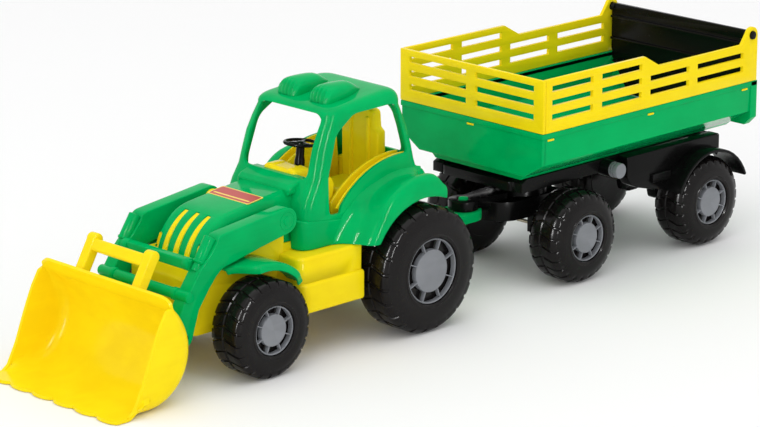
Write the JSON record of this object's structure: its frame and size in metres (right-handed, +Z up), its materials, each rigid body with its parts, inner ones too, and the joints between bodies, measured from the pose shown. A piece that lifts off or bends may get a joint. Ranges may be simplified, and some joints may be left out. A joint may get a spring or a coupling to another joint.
{
  "type": "toy tractor with loader and trailer",
  "caption": "Plastic toy tractor with an open cab, a tilting front loader bucket and a tipping trailer with slatted rails, hitched by a swinging drawbar.",
  "frame": {"origin": "centre of the footprint at ground level", "axes": "+X to the front of the tractor, +Y to its left, +Z up"},
  "size_m": [0.6985, 0.163, 0.1964],
  "materials": {
    "green_plastic": "glossy moulded green plastic",
    "yellow_plastic": "glossy moulded yellow plastic",
    "black_plastic": "satin moulded black plastic",
    "tyre_plastic": "satin black hollow-blown plastic tyre",
    "grey_plastic": "satin grey plastic",
    "steel_rod": "bare steel rod"
  },
  "bodies": {
    "tractor": {"tractor_chassis": "yellow_plastic", "bonnet": "green_plastic", "grille_insert": "yellow_plastic", "cab": "green_plastic", "cab_interior": "yellow_plastic", "driver_seat": "yellow_plastic", "steering_column": "black_plastic", "front_mudguard_left": "green_plastic", "front_mudguard_right": "green_plastic", "tow_hitch": "green_plastic", "loader_pin_left": "green_plastic", "loader_pin_right": "green_plastic"},
    "steering": {"steering_wheel": "black_plastic"},
    "loader": {"loader_frame": "green_plastic", "bucket_pin_left": "black_plastic", "bucket_pin_right": "black_plastic"},
    "bucket_body": {"bucket": "yellow_plastic"},
    "front_axle_set": {"front_axle": "steel_rod", "front_wheel_left": "tyre_plastic", "front_wheel_right": "tyre_plastic", "front_hubcap_left": "grey_plastic", "front_hubcap_right": "grey_plastic"},
    "rear_axle_set": {"rear_axle": "steel_rod", "rear_wheel_left": "tyre_plastic", "rear_wheel_right": "tyre_plastic", "rear_hubcap_left": "grey_plastic", "rear_hubcap_right": "grey_plastic"},
    "dolly_body": {"dolly": "black_plastic", "kingpin": "black_plastic"},
    "dolly_axle_set": {"dolly_axle": "steel_rod", "dolly_wheel_left": "tyre_plastic", "dolly_wheel_right": "tyre_plastic", "dolly_hubcap_left": "grey_plastic", "dolly_hubcap_right": "grey_plastic"},
    "trailer": {"trailer_frame": "black_plastic", "side_cap_left": "grey_plastic", "side_cap_right": "grey_plastic", "trailer_mudguard_left": "black_plastic", "trailer_mudguard_right": "black_plastic", "tip_pin": "steel_rod"},
    "trailer_axle_set": {"trailer_axle": "steel_rod", "trailer_wheel_left": "tyre_plastic", "trailer_wheel_right": "tyre_plastic", "trailer_hubcap_left": "grey_plastic", "trailer_hubcap_right": "grey_plastic"},
    "tray_body": {"tray": "green_plastic", "rail_left": "yellow_plastic", "rail_right": "yellow_plastic", "rail_front": "yellow_plastic"},
    "tailgate_body": {"tailgate": "black_plastic"}
  },
  "joints": [
    {"name": "front_axle_spin", "type": "hinge", "parent": "tractor", "child": "front_axle_set", "pos_m": [0.1959, 0, 0.0375], "axis": [0, 1, 0], "continuous": true},
    {"name": "rear_axle_spin", "type": "hinge", "parent": "tractor", "child": "rear_axle_set", "pos_m": [0.0353, 0, 0.05], "axis": [0, 1, 0], "continuous": true},
    {"name": "steering_wheel_turn", "type": "hinge", "parent": "tractor", "child": "steering", "pos_m": [0.0983, 0, 0.1485], "axis": [-0.0872, 0, 0.9962], "continuous": true},
    {"name": "loader_lift", "type": "hinge", "parent": "tractor", "child": "loader", "pos_m": [0.1578, 0, 0.1085], "axis": [0, -1, 0], "range_deg": [0, 50]},
    {"name": "bucket_tilt", "type": "hinge", "parent": "loader", "child": "bucket_body", "pos_m": [0.2603, 0, 0.04], "axis": [0, -1, 0], "range_deg": [-55, 12]},
    {"name": "drawbar_swing", "type": "hinge", "parent": "tractor", "child": "dolly_body", "pos_m": [-0.0797, 0, 0.0608], "axis": [0, 0, 1], "range_deg": [-40, 40]},
    {"name": "turntable_swing", "type": "hinge", "parent": "dolly_body", "child": "trailer", "pos_m": [-0.1462, 0, 0.08], "axis": [0, 0, 1], "range_deg": [-35, 35]},
    {"name": "dolly_axle_spin", "type": "hinge", "parent": "dolly_body", "child": "dolly_axle_set", "pos_m": [-0.1462, 0, 0.038], "axis": [0, 1, 0], "continuous": true},
    {"name": "trailer_axle_spin", "type": "hinge", "parent": "trailer", "child": "trailer_axle_set", "pos_m": [-0.2994, 0, 0.038], "axis": [0, 1, 0], "continuous": true},
    {"name": "tray_tip", "type": "hinge", "parent": "trailer", "child": "tray_body", "pos_m": [-0.3209, 0, 0.084], "axis": [0, -1, 0], "range_deg": [0, 45]},
    {"name": "tailgate_swing", "type": "hinge", "parent": "tray_body", "child": "tailgate_body", "pos_m": [-0.341, 0, 0.1752], "axis": [0, 1, 0], "range_deg": [0, 90]}
  ]
}
